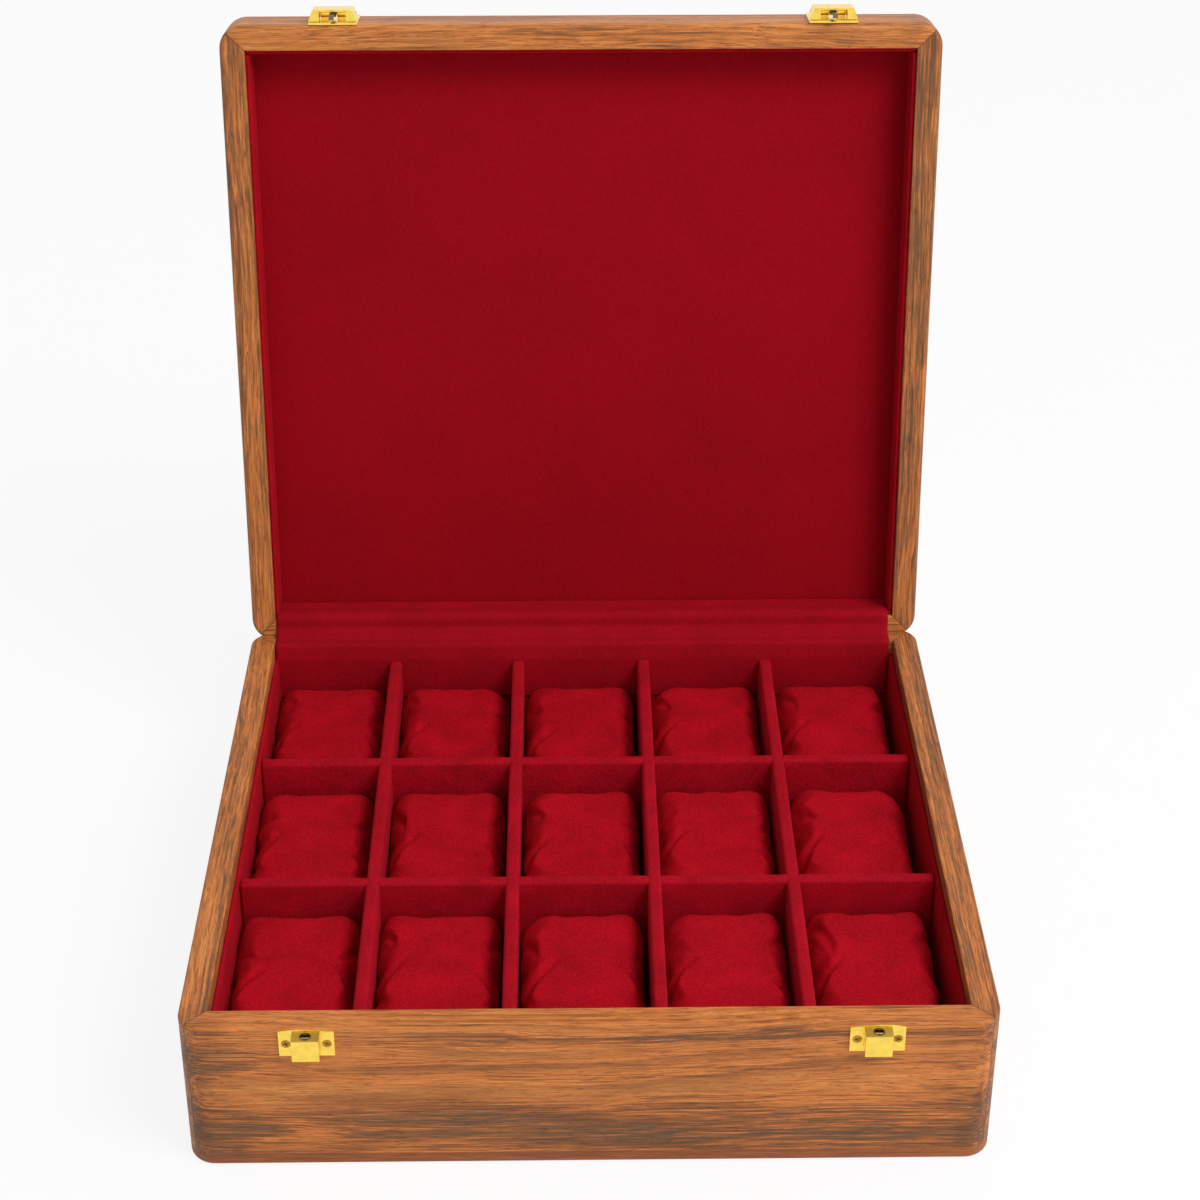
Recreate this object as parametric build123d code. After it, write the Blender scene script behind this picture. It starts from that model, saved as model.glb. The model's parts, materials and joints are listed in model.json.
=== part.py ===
import math
import os

from build123d import *

# Wooden watch box with velvet compartments, millimetres.
# The origin is under the middle of the base, the front faces -Y and +Z is up.
# The lid is drawn shut and turned open about the hinge line before it is exported.

# Box
WIDTH = 356.0
DEPTH = 328.0
RIM = 78.0
RIM_GAP = 0.2
HEIGHT = 106.0
CORNER_R = 12.0
WALL = 12.5
BOTTOM_T = 7.0
TOP_T = 6.0
BASE_EASE = 1.2
LID_EASE = 2.8
INNER_EASE = 0.5
BOARD_EASE = 2.8
OPEN_ANGLE = 98.0

# Lining boards
LINING = 2.0
FLOOR_LINING = 1.5
LINING_TOP = 70.0
LID_LINING_EDGE = 80.2
FIT = 0.15

# Dividers
DIVIDER = 6.4
DIVIDER_TOP = 68.6
LONG_X = (-100.9, -35.4, 31.4, 96.6)
CROSS_Y = {"front": -45.9, "rear": 54.5}
DIVIDER_ROUND = 2.4
LAP_CLEAR = 0.12

# Watch pillows
PILLOW_W = 57.0
PILLOW_L = 89.0
PILLOW_H = 48.5
PILLOW_DRAW = 1.2
PILLOW_CROWN = 2.2
PILLOW_CORNER = 5.0
PILLOW_STATIONS = (
    (-1.0, 6.0),
    (-0.95, 2.0),
    (-0.84, 0.0),
    (-0.4, 0.0),
    (0.4, 0.0),
    (0.84, 0.0),
    (0.95, 2.0),
    (1.0, 6.0),
)
PILLOW_LIFT = 0.3

# Velvet strip over the hinge line
STRIP_LEFT = -165.0
STRIP_RIGHT = 163.0
STRIP_T = 0.5
STRIP_SET = 2.2
GLUE = 0.03
RELIEF = 0.7

# Hinges
BEVEL = 3.5
BEVEL_CLEAR = 0.15
HINGE_X = (-100.0, 100.0)
HINGE_L = 38.0
KNUCKLES = 5
KNUCKLE_GAP = 0.15
BARREL_R = 2.0
HINGE_PIN_R = 1.0
RUNNING = 0.05
LEAF_T = 0.9
LEAF_SCREWS = (-13.0, 0.0, 13.0)

# Catches
CATCH_X = {"left": -121.8, "right": 123.8}
KEEPER_W = 24.0
KEEPER_LOW = 63.8
KEEPER_TOP = 76.8
KEEPER_T = 1.0
BOX_W = 12.0
BOX_LOW = 65.6
BOX_OUT = 7.4
BOX_WALL = 0.9
BOX_HOLE_R = 2.1
BOX_HOLE_OUT = 3.9
KEEPER_SCREW_X = 8.8
KEEPER_SCREW_Z = 70.4
CROSS_PIN_R = 0.8
CROSS_PIN_OUT = 3.3
CROSS_PIN_Z = 75.0
CATCH_PLATE_T = 1.1
CATCH_PLATE_LOW = 78.5
CATCH_PLATE_TOP = 102.5
CATCH_SCREW_X = 7.6
CATCH_SCREW_Z = 98.2
PIVOT_OUT = 4.0
PIVOT_Z = 88.6
KNUCKLE_R = 2.2
KNUCKLE_IN = 1.9
KNUCKLE_OUT = 6.2
PIVOT_PIN_R = 1.0
LEVER_FOOT = 11.9
LEVER_CREST = 9.7
LEVER_BACK = 1.5
LEVER_OUT = 7.2
LEVER_LOW = 79.4
LEVER_LIP = 78.6
MOUTH = 6.6
SKIN = 0.9
HOOK_W = 2.4
HOOK_T = 0.8
SPRING_WIRE = 0.35
SPRING_R = 1.6
SPRING_TURNS = 3

# Screws
SCREW_HEAD_R = 2.1
SCREW_HEAD_H = 1.4
SCREW_SHANK_R = 1.05
SCREW_L = 9.0
RECESS_W = 0.55
RECESS_L = 2.6
RECESS_D = 0.8

HALF_W = WIDTH / 2
HALF_D = DEPTH / 2
FRONT_Y = -HALF_D
INNER_X = HALF_W - WALL
INNER_Y = HALF_D - WALL
HINGE_Y = HALF_D - BEVEL
BASE_RIM = RIM - RIM_GAP / 2
LID_RIM = RIM + RIM_GAP / 2
FLOOR = BOTTOM_T + FLOOR_LINING
PANEL = HEIGHT - TOP_T
HINGE_AXIS = Axis((0, HINGE_Y, RIM), (1, 0, 0))


def block(x0, x1, y0, y1, z0, z1):
    """A plain block between two corners."""
    centre = Pos((x0 + x1) / 2, (y0 + y1) / 2, (z0 + z1) / 2)
    return centre * Box(x1 - x0, y1 - y0, z1 - z0)


def along_x(points, x0, x1):
    """A polygon given as (y, z) points, pushed along X."""
    wire = Wire.make_polygon([Vector(x0, y, z) for y, z in points], close=True)
    return extrude(Face(wire), amount=x1 - x0, dir=(1, 0, 0))


def rod_x(radius, x0, x1, y, z):
    """A round rod along X."""
    return Pos((x0 + x1) / 2, y, z) * Rot(0, 90, 0) * Cylinder(radius, x1 - x0)


def opened(shape):
    """A lid piece turned from shut to open."""
    return shape.rotate(HINGE_AXIS, -OPEN_ANGLE)


def top_edges(shape, z, outer):
    """Edges of the frame at height z, on its outer or inner outline."""
    def on_outline(edge):
        middle = edge.position_at(0.5)
        outside = abs(middle.X) > INNER_X + 0.1 or abs(middle.Y) > INNER_Y + 0.1
        return outside == outer

    flat = [e for e in shape.edges() if abs(e.bounding_box().min.Z - z) < 1e-4]
    return [e for e in flat if abs(e.bounding_box().max.Z - z) < 1e-4 and on_outline(e)]


def ring(low, high):
    """The four walls in one piece, with rounded corners."""
    outline = RectangleRounded(WIDTH, DEPTH, CORNER_R) - Rectangle(2 * INNER_X, 2 * INNER_Y)
    return Pos(0, 0, low) * extrude(outline, amount=high - low)


def bevel_cut(lower):
    """The wedge planed off the back edge so that the open lid comes to rest on it."""
    start = HINGE_Y - BEVEL_CLEAR
    reach = HALF_D + 2 - start
    drop = reach * math.tan(math.radians(OPEN_ANGLE / 2))
    sign = -1 if lower else 1
    points = [(start, RIM), (HALF_D + 2, RIM + sign * drop), (HALF_D + 2, RIM - sign * 2), (start, RIM - sign * 2)]
    return along_x(points, -HALF_W - 1, HALF_W + 1)


def strip_relief(lower):
    """The shallow step in the back rim for the velvet strip."""
    low = RIM - RELIEF if lower else RIM - 1
    high = RIM + 1 if lower else RIM + RELIEF
    return block(STRIP_LEFT - 0.3, STRIP_RIGHT + 0.3, INNER_Y - 1, HALF_D + 1, low, high)


def hinge_mortises(lower):
    """Pockets for the two leaves and the groove for each barrel."""
    face = RIM - RELIEF if lower else RIM + RELIEF
    sign = -1 if lower else 1
    cuts = []
    for x in HINGE_X:
        low, high = sorted((face + sign * (LEAF_T + 0.05), face - sign * 1))
        half = HINGE_L / 2 + 0.15
        cuts.append(block(x - half, x + half, INNER_Y - 1, HALF_D, low, high))
        cuts.append(rod_x(BARREL_R + 0.25, x - half, x + half, HINGE_Y, RIM))
        for dx in LEAF_SCREWS:
            cuts.append(leaf_screw(x + dx, lower, 0.02))
    return cuts


def screw(grow=0.0, recess=True):
    """A countersunk wood screw standing head up with the head's face at z = 0."""
    head_low = SCREW_SHANK_R + grow
    head = Pos(0, 0, -SCREW_HEAD_H / 2) * Cone(head_low, SCREW_HEAD_R + grow, SCREW_HEAD_H)
    shank_l = SCREW_L - SCREW_HEAD_H - 2 + grow
    shank = Pos(0, 0, -SCREW_HEAD_H - shank_l / 2) * Cylinder(SCREW_SHANK_R + grow, shank_l)
    tip = Pos(0, 0, -SCREW_HEAD_H - shank_l - 1) * Cone(0.2, SCREW_SHANK_R + grow, 2)
    body = head + shank + tip
    if recess:
        body -= Pos(0, 0, -RECESS_D / 2) * Box(RECESS_L, RECESS_W, RECESS_D)
        body -= Pos(0, 0, -RECESS_D / 2) * Box(RECESS_W, RECESS_L, RECESS_D)
    return body


def leaf_screw(x, lower, grow=0.0, recess=False):
    """A hinge screw, or its hole, driven into a rim through a leaf."""
    y = (INNER_Y + HINGE_Y - BARREL_R) / 2
    if lower:
        return Pos(x, y, RIM - RELIEF) * screw(grow, recess)
    return Pos(x, y, RIM + RELIEF) * Rot(180, 0, 0) * screw(grow, recess)


def face_screw(x, z, out, turn=0.0, grow=0.0, recess=False):
    """A screw, or its hole, driven into the front through a plate that stands out."""
    return Pos(x, FRONT_Y - out, z) * Rot(90, 0, 0) * Rot(0, 0, turn) * screw(grow, recess)


def screw_holes(centre, dx, z, out):
    """The two holes that one catch plate or keeper needs in the wood."""
    return [face_screw(centre + s * dx, z, out, grow=0.02) for s in (-1, 1)]


def rail(frame, side):
    """One mitred rail cut out of the ring of walls."""
    x, y, far = HALF_W, HALF_D, 30.0
    near = (x - far, y - far)
    plans = {
        "front": [(-x, -y), (x, -y), (near[0], -near[1]), (-near[0], -near[1])],
        "back": [(-x, y), (x, y), (near[0], near[1]), (-near[0], near[1])],
        "left": [(-x, -y), (-x, y), (-near[0], near[1]), (-near[0], -near[1])],
        "right": [(x, -y), (x, y), (near[0], near[1]), (near[0], -near[1])],
    }
    wire = Wire.make_polygon([Vector(px, py, 0) for px, py in plans[side]], close=True)
    return frame & extrude(Face(wire), amount=HEIGHT, dir=(0, 0, 1))


def board(low, high, eased_z):
    """The bottom or top board, as wide as the box, with its outer edge rounded over."""
    plate = Pos(0, 0, low) * extrude(RectangleRounded(WIDTH, DEPTH, CORNER_R), amount=high - low)
    return fillet(top_edges(plate, eased_z, True), BOARD_EASE)


def base_ring():
    """The base walls with every cut in them."""
    frame = ring(BOTTOM_T, BASE_RIM)
    frame = fillet(top_edges(frame, BASE_RIM, True), BASE_EASE)
    frame = fillet(top_edges(frame, BASE_RIM, False), INNER_EASE)
    frame -= bevel_cut(True)
    frame -= strip_relief(True)
    for cut in hinge_mortises(True):
        frame -= cut
    for x in CATCH_X.values():
        for cut in screw_holes(x, KEEPER_SCREW_X, KEEPER_SCREW_Z, KEEPER_T):
            frame -= cut
    return frame


def lid_ring():
    """The lid walls, shut, with every cut in them."""
    frame = ring(LID_RIM, PANEL)
    frame = fillet(top_edges(frame, LID_RIM, True), LID_EASE)
    frame = fillet(top_edges(frame, LID_RIM, False), INNER_EASE)
    frame -= bevel_cut(False)
    frame -= strip_relief(False)
    for cut in hinge_mortises(False):
        frame -= cut
    for x in CATCH_X.values():
        for cut in screw_holes(x, CATCH_SCREW_X, CATCH_SCREW_Z, CATCH_PLATE_T):
            frame -= cut
    return frame


def lining(side, low, high, round_z):
    """One velvet-covered board against a wall, with its free edge rounded."""
    x, y = INNER_X, INNER_Y
    spans = {
        "front": (-x, x, -y, -y + LINING),
        "back": (-x, x, y - LINING, y),
        "left": (-x, -x + LINING, -y + LINING + FIT, y - LINING - FIT),
        "right": (x - LINING, x, -y + LINING + FIT, y - LINING - FIT),
    }
    plate = block(*spans[side], low, high)
    free = [e for e in plate.edges() if abs(e.center().Z - round_z) < 1e-4 and e.length > 20]
    return fillet(free, LINING * 0.45)


def divider(long_way, at):
    """One divider with rounded top and the half-laps that let the others cross it."""
    half = DIVIDER / 2
    low = FLOOR + FIT
    reach = (INNER_Y if long_way else INNER_X) - LINING - FIT
    if long_way:
        wall = block(at - half, at + half, -reach, reach, low, DIVIDER_TOP)
    else:
        wall = block(-reach, reach, at - half, at + half, low, DIVIDER_TOP)
    ridge = [e for e in wall.edges() if abs(e.center().Z - DIVIDER_TOP) < 1e-4 and e.length > 20]
    wall = fillet(ridge, DIVIDER_ROUND)
    middle = (low + DIVIDER_TOP) / 2
    gap = half + LAP_CLEAR
    if long_way:
        for y in CROSS_Y.values():
            wall -= block(at - 9, at + 9, y - gap, y + gap, low - 1, middle + LAP_CLEAR / 2)
    else:
        for x in LONG_X:
            wall -= block(x - gap, x + gap, at - 9, at + 9, middle - LAP_CLEAR / 2, DIVIDER_TOP + 1)
    return wall


def crowned(width, low, high, crown, draw, corner):
    """An end view of the pillow: flat foot, drawn-in sides and a crowned top."""
    w = width / 2
    middle = (low + high) / 2
    sides = [
        Line((-w, low), (w, low)),
        ThreePointArc((w, low), (w - draw, middle), (w, high - crown)),
        ThreePointArc((w, high - crown), (0, high), (-w, high - crown)),
        ThreePointArc((-w, high - crown), (-w + draw, middle), (-w, low)),
    ]
    face = make_face(sides)
    return fillet(face.vertices(), corner)


def pillow():
    """One velvet watch pillow, standing on z = 0 about the origin, lofted from end to end."""
    sections = []
    for along, inset in PILLOW_STATIONS:
        waist = PILLOW_DRAW * (1 - along**2)
        width = PILLOW_W - 2 * inset - 2 * waist
        top = PILLOW_H - inset - PILLOW_CROWN * along**2
        face = crowned(width, inset * 0.6, top, PILLOW_CROWN, PILLOW_DRAW * 0.6, PILLOW_CORNER)
        sections.append(Pos(0, along * PILLOW_L / 2, 0) * (Plane.XZ * face))
    return loft(sections, ruled=True)


def knuckle_spans(lower):
    """The barrel lengths that belong to one leaf, measured from the hinge's middle."""
    step = HINGE_L / KNUCKLES
    first = 0 if lower else 1
    starts = [-HINGE_L / 2 + i * step for i in range(first, KNUCKLES, 2)]
    return [(s + KNUCKLE_GAP / 2, s + step - KNUCKLE_GAP / 2) for s in starts]


def hinge_leaf(x, lower):
    """One leaf with its knuckles, let into the rim."""
    face = RIM - RELIEF if lower else RIM + RELIEF
    far = face - LEAF_T if lower else face + LEAF_T
    low, high = sorted((face, far))
    back = HINGE_Y - BARREL_R - 0.3
    leaf = block(x - HINGE_L / 2, x + HINGE_L / 2, INNER_Y + 0.2, back, low, high)
    for start, end in knuckle_spans(lower):
        leaf += block(x + start, x + end, back - 0.2, HINGE_Y, low, high)
        leaf += rod_x(BARREL_R, x + start, x + end, HINGE_Y, RIM)
    bore = HINGE_PIN_R if lower else HINGE_PIN_R + RUNNING
    leaf -= rod_x(bore, x - HINGE_L, x + HINGE_L, HINGE_Y, RIM)
    for dx in LEAF_SCREWS:
        leaf -= leaf_screw(x + dx, lower, 0.02)
    return leaf


def strip_leg(lower):
    """The part of the velvet strip that is glued to one rim and folds down inside it."""
    sign = -1 if lower else 1
    face = RIM + sign * (RELIEF - GLUE)
    top = face - sign * STRIP_T
    low, high = sorted((face, top))
    inner = INNER_Y - STRIP_T - GLUE
    flat = block(STRIP_LEFT, STRIP_RIGHT, inner, HINGE_Y - BARREL_R - STRIP_SET + 0.3, low, high)
    edge = LINING_TOP + 0.1 if lower else LID_LINING_EDGE - 0.1
    foot, head = sorted((edge, top))
    return flat + block(STRIP_LEFT, STRIP_RIGHT, inner, INNER_Y - GLUE, foot, head)


def velvet_strip():
    """The strip in one piece: a leg on each rim and the bridge over the barrels."""
    legs = strip_leg(True) + opened(strip_leg(False))
    start = Vector(0, HINGE_Y - BARREL_R - STRIP_SET, RIM - RELIEF + STRIP_T / 2)
    high = Vector(0, HINGE_Y - BARREL_R - STRIP_SET, RIM + RELIEF - STRIP_T / 2)
    turn = math.radians(-OPEN_ANGLE)
    dy, dz = high.Y - HINGE_Y, high.Z - RIM
    end_y = HINGE_Y + dy * math.cos(turn) - dz * math.sin(turn)
    end_z = RIM + dy * math.sin(turn) + dz * math.cos(turn)
    run = Vector(0, end_y - start.Y, end_z - start.Z)
    side = Vector(0, -run.Z, run.Y).normalized() * (STRIP_T / 2)
    ends = [(start + side), (start - side), (start + run - side), (start + run + side)]
    bridge = along_x([(p.Y, p.Z) for p in ends], STRIP_LEFT, STRIP_RIGHT)
    return legs + bridge


def keeper(x):
    """The brass keeper: a plate with two screw holes and a hollow box with a round mouth on top."""
    half = KEEPER_W / 2
    outline = [
        Line((-half, KEEPER_TOP), (-half, KEEPER_LOW)),
        Line((-half, KEEPER_LOW), (half, KEEPER_LOW)),
        Line((half, KEEPER_LOW), (half, KEEPER_TOP)),
        ThreePointArc((half, KEEPER_TOP), (0, KEEPER_TOP + 0.6), (-half, KEEPER_TOP)),
    ]
    face = Plane.XZ * make_face(outline)
    part = Pos(x, FRONT_Y, 0) * extrude(face, amount=KEEPER_T)
    w = BOX_W / 2
    inner = w - BOX_WALL
    part += block(x - w, x + w, FRONT_Y - BOX_OUT, FRONT_Y - 0.1, BOX_LOW, KEEPER_TOP)
    hollow_back = FRONT_Y - KEEPER_T - 0.3
    hollow_front = FRONT_Y - BOX_OUT + BOX_WALL
    part -= block(x - inner, x + inner, hollow_front, hollow_back, BOX_LOW - 1, KEEPER_TOP - BOX_WALL)
    part -= Pos(x, FRONT_Y - BOX_HOLE_OUT, KEEPER_TOP) * Cylinder(BOX_HOLE_R, 4)
    part -= rod_x(CROSS_PIN_R, x - w - 1, x + w + 1, FRONT_Y - CROSS_PIN_OUT, CROSS_PIN_Z)
    front = [e for e in part.edges() if abs(e.center().Y - (FRONT_Y - BOX_OUT)) < 1e-4]
    part = fillet(front, 0.35)
    for s in (-1, 1):
        part -= face_screw(x + s * KEEPER_SCREW_X, KEEPER_SCREW_Z, KEEPER_T, grow=0.02)
    return part


def catch_plate(x):
    """The brass plate on the lid with the two knuckles that the lever turns on."""
    half = KEEPER_W / 2
    plate = block(x - half, x + half, FRONT_Y - CATCH_PLATE_T, FRONT_Y, CATCH_PLATE_LOW, CATCH_PLATE_TOP)
    rim = [e for e in plate.edges() if abs(e.center().Y - (FRONT_Y - CATCH_PLATE_T)) < 1e-4]
    plate = chamfer(rim, 0.5)
    axis_y = FRONT_Y - PIVOT_OUT
    for s in (-1, 1):
        x0, x1 = sorted((x + s * KNUCKLE_IN, x + s * KNUCKLE_OUT))
        plate += rod_x(KNUCKLE_R, x0, x1, axis_y, PIVOT_Z)
        plate += block(x0, x1, axis_y, FRONT_Y - 0.2, PIVOT_Z - 1.4, PIVOT_Z + 1.4)
        plate -= face_screw(x + s * CATCH_SCREW_X, CATCH_SCREW_Z, CATCH_PLATE_T, grow=0.02)
    return plate - rod_x(PIVOT_PIN_R, x - half, x + half, axis_y, PIVOT_Z)


def lever(x):
    """The brass lever: sloped cheeks, a mouth between them and a finger lip at its foot."""
    y = FRONT_Y
    plan = [
        (x - LEVER_FOOT, y - LEVER_BACK),
        (x + LEVER_FOOT, y - LEVER_BACK),
        (x + LEVER_CREST, y - LEVER_OUT),
        (x - LEVER_CREST, y - LEVER_OUT),
    ]
    wire = Wire.make_polygon([Vector(px, py, LEVER_LIP - 1) for px, py in plan], close=True)
    body = extrude(Face(wire), amount=20, dir=(0, 0, 1))
    crest = [e for e in body.edges().filter_by(Axis.Z) if e.center().Y < y - LEVER_OUT + 0.1]
    body = fillet(crest, 1.2)
    py, pz = y - PIVOT_OUT, PIVOT_Z
    round_r = PIVOT_OUT - LEVER_BACK
    half_turn = round_r * math.sqrt(0.5)
    side = [
        Line((y - LEVER_BACK, LEVER_LOW), (y - LEVER_BACK, pz)),
        ThreePointArc((y - LEVER_BACK, pz), (py + half_turn, pz + half_turn), (py, pz + round_r)),
        Line((py, pz + round_r), (y - LEVER_OUT + 1.2, pz + round_r)),
        ThreePointArc(
            (y - LEVER_OUT + 1.2, pz + round_r),
            (y - LEVER_OUT + 0.35, pz + round_r - 0.35),
            (y - LEVER_OUT, pz + round_r - 1.2),
        ),
        Line((y - LEVER_OUT, pz + round_r - 1.2), (y - LEVER_OUT, LEVER_LIP)),
        Line((y - LEVER_OUT, LEVER_LIP), (y - LEVER_OUT + SKIN, LEVER_LIP)),
        Line((y - LEVER_OUT + SKIN, LEVER_LIP), (y - LEVER_OUT + SKIN, LEVER_LOW)),
        Line((y - LEVER_OUT + SKIN, LEVER_LOW), (y - LEVER_BACK, LEVER_LOW)),
    ]
    profile = Plane.YZ * make_face(side)
    body &= Pos(x - 15, 0, 0) * extrude(profile, amount=30)
    body -= block(x - MOUTH, x + MOUTH, y - LEVER_OUT + SKIN, y, LEVER_LIP - 2, PIVOT_Z + 6)
    return body - rod_x(PIVOT_PIN_R + RUNNING, x - 15, x + 15, py, pz)


def hook(x):
    """The steel hook under the lever's skin that drops through the keeper's mouth."""
    half = HOOK_W / 2
    skin = FRONT_Y - LEVER_OUT + SKIN
    foot = block(x - half, x + half, skin, skin + HOOK_T, 80.0, 85.0)
    shank_y = FRONT_Y - 4.6
    shank = block(x - half, x + half, shank_y - HOOK_T, shank_y, 72.9, 81.2)
    bend = block(x - half, x + half, skin, shank_y, 80.4, 81.2)
    barb = block(x - half, x + half, shank_y - HOOK_T, FRONT_Y - 3.2, 72.9, 73.8)
    return foot + shank + bend + barb


def spring(x):
    """The torsion spring that lies round the pivot pin between the knuckles."""
    pitch = (2 * KNUCKLE_IN - 0.5 - 2 * SPRING_WIRE) / SPRING_TURNS
    path = Helix(pitch, pitch * SPRING_TURNS, SPRING_R)
    end = path @ 0
    section = Plane(origin=end, z_dir=path % 0) * Circle(SPRING_WIRE)
    coil = sweep(section, path=path, is_frenet=True)
    turned = Pos(x, FRONT_Y - PIVOT_OUT, PIVOT_Z) * Rot(0, 90, 0)
    return turned * Pos(0, 0, -pitch * SPRING_TURNS / 2) * coil


def group(parts):
    """Separate solids that share one node."""
    return Compound(children=[s for p in parts for s in p.solids()])


def save(name, shape):
    export_step(shape, f"parts/{name}.step")


def base_nodes():
    frame = base_ring()
    for side in ("front", "back", "left", "right"):
        save(f"base_{side}_rail", rail(frame, side))
        save(f"base_{side}_lining", lining(side, FLOOR + FIT, LINING_TOP, LINING_TOP))
    save("base_bottom_board", board(0, BOTTOM_T, 0))
    save("base_floor_lining", block(-INNER_X, INNER_X, -INNER_Y, INNER_Y, BOTTOM_T, FLOOR))
    for number, x in enumerate(LONG_X, 1):
        save(f"long_divider_{number}", divider(True, x))
    for name, y in CROSS_Y.items():
        save(f"cross_divider_{name}", divider(False, y))
    screws = []
    pins = []
    for name, x in CATCH_X.items():
        save(f"keeper_{name}", keeper(x))
        half = BOX_W / 2
        pins.append(rod_x(CROSS_PIN_R, x - half, x + half, FRONT_Y - CROSS_PIN_OUT, CROSS_PIN_Z))
        for s in (-1, 1):
            turn = 20 if s < 0 else 65
            screws.append(face_screw(x + s * KEEPER_SCREW_X, KEEPER_SCREW_Z, KEEPER_T, turn, recess=True))
    save("keeper_screws", group(screws))
    save("keeper_pins", group(pins))
    save("hinge_base_leaves", group([hinge_leaf(x, True) for x in HINGE_X]))
    half = HINGE_L / 2
    save("hinge_pins", group([rod_x(HINGE_PIN_R, x - half, x + half, HINGE_Y, RIM) for x in HINGE_X]))
    save("hinge_base_screws", group([leaf_screw(x + d, True, recess=True) for x in HINGE_X for d in LEAF_SCREWS]))
    save("velvet_strip", velvet_strip())


def lid_nodes():
    frame = lid_ring()
    for side in ("front", "back", "left", "right"):
        save(f"lid_{side}_rail", opened(rail(frame, side)))
        edge = LID_LINING_EDGE
        save(f"lid_{side}_lining", opened(lining(side, edge, PANEL - FLOOR_LINING - FIT, edge)))
    save("lid_top_board", opened(board(PANEL, HEIGHT, HEIGHT)))
    panel = block(-INNER_X, INNER_X, -INNER_Y, INNER_Y, PANEL - FLOOR_LINING, PANEL)
    save("lid_panel_lining", opened(panel))
    save("hinge_lid_leaves", opened(group([hinge_leaf(x, False) for x in HINGE_X])))
    leaf_screws = [leaf_screw(x + d, False, recess=True) for x in HINGE_X for d in LEAF_SCREWS]
    save("hinge_lid_screws", opened(group(leaf_screws)))
    screws = []
    pins = []
    springs = []
    for name, x in CATCH_X.items():
        save(f"catch_plate_{name}", opened(catch_plate(x)))
        save(f"catch_lever_{name}", opened(lever(x)))
        save(f"catch_hook_{name}", opened(hook(x)))
        pins.append(rod_x(PIVOT_PIN_R, x - 10.4, x + 10.4, FRONT_Y - PIVOT_OUT, PIVOT_Z))
        springs.append(spring(x))
        for s in (-1, 1):
            turn = 35 if s < 0 else 80
            screws.append(face_screw(x + s * CATCH_SCREW_X, CATCH_SCREW_Z, CATCH_PLATE_T, turn, recess=True))
    save("catch_pins", opened(group(pins)))
    save("catch_springs", opened(group(springs)))
    save("catch_screws", opened(group(screws)))


def pillow_nodes():
    """Fifteen pillows, numbered by row from the back and by column from the left."""
    walls_x = [-INNER_X + LINING - DIVIDER / 2, *LONG_X, INNER_X - LINING + DIVIDER / 2]
    back = INNER_Y - LINING
    rows = [
        (CROSS_Y["rear"] + DIVIDER / 2, back),
        (CROSS_Y["front"] + DIVIDER / 2, CROSS_Y["rear"] - DIVIDER / 2),
        (-back, CROSS_Y["front"] - DIVIDER / 2),
    ]
    shape = pillow()
    for row, (low, high) in enumerate(rows, 1):
        y = high - 1.5 - PILLOW_L / 2
        for column in range(1, 6):
            x = (walls_x[column - 1] + walls_x[column]) / 2
            save(f"pillow_{row}_{column}", Pos(x, y, FLOOR + PILLOW_LIFT) * shape)


os.makedirs("parts", exist_ok=True)
base_nodes()
lid_nodes()
pillow_nodes()
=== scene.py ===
"""Looks of a wooden watch box with fifteen velvet pillows, dressed round its fixed frame.

Sizes in the classes are millimetres, and meshes are handed over in metres, as the frame is.
Closed coordinates are those of the shut box. The lid's pieces are worked out there and then
turned open about the hinge line.
"""

from __future__ import annotations

import json
import logging
import math
from dataclasses import dataclass, field
from enum import Enum
from typing import Any

import bpy
import numpy as np
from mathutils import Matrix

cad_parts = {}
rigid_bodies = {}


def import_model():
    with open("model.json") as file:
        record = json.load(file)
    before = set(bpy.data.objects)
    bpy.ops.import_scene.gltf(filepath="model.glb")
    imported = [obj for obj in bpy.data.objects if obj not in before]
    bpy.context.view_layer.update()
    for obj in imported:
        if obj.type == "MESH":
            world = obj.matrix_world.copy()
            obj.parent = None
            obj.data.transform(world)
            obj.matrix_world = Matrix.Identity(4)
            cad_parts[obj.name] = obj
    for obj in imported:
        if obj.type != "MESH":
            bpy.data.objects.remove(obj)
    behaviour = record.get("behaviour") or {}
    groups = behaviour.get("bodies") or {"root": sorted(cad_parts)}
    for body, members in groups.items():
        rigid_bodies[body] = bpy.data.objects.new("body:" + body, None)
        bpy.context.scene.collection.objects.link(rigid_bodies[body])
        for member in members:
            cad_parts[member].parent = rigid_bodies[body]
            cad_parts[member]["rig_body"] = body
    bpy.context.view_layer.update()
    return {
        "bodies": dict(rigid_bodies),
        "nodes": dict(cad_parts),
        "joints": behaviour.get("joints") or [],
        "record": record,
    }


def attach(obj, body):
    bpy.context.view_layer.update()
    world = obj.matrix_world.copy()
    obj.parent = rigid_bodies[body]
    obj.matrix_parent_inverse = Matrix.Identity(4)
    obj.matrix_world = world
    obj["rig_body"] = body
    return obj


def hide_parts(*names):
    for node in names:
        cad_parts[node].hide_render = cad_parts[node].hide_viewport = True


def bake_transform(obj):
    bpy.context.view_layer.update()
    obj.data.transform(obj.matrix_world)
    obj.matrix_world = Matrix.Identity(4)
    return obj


LOG = logging.getLogger("watch_box")
MM = 0.001
FULL_TURN = 2 * math.pi
Array = np.ndarray
Colour = tuple[float, float, float, float]


def tint(code: str) -> Colour:
    """Turns a screen colour into the linear colour that a socket takes.

    Args:
        code: six hexadecimal digits.

    Returns:
        Linear red, green, blue and an alpha of 1.
    """
    parts = [int(code[i : i + 2], 16) / 255 for i in (0, 2, 4)]
    linear = [v / 12.92 if v <= 0.04045 else ((v + 0.055) / 1.055) ** 2.4 for v in parts]
    return (linear[0], linear[1], linear[2], 1.0)


# Shader graph


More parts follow.
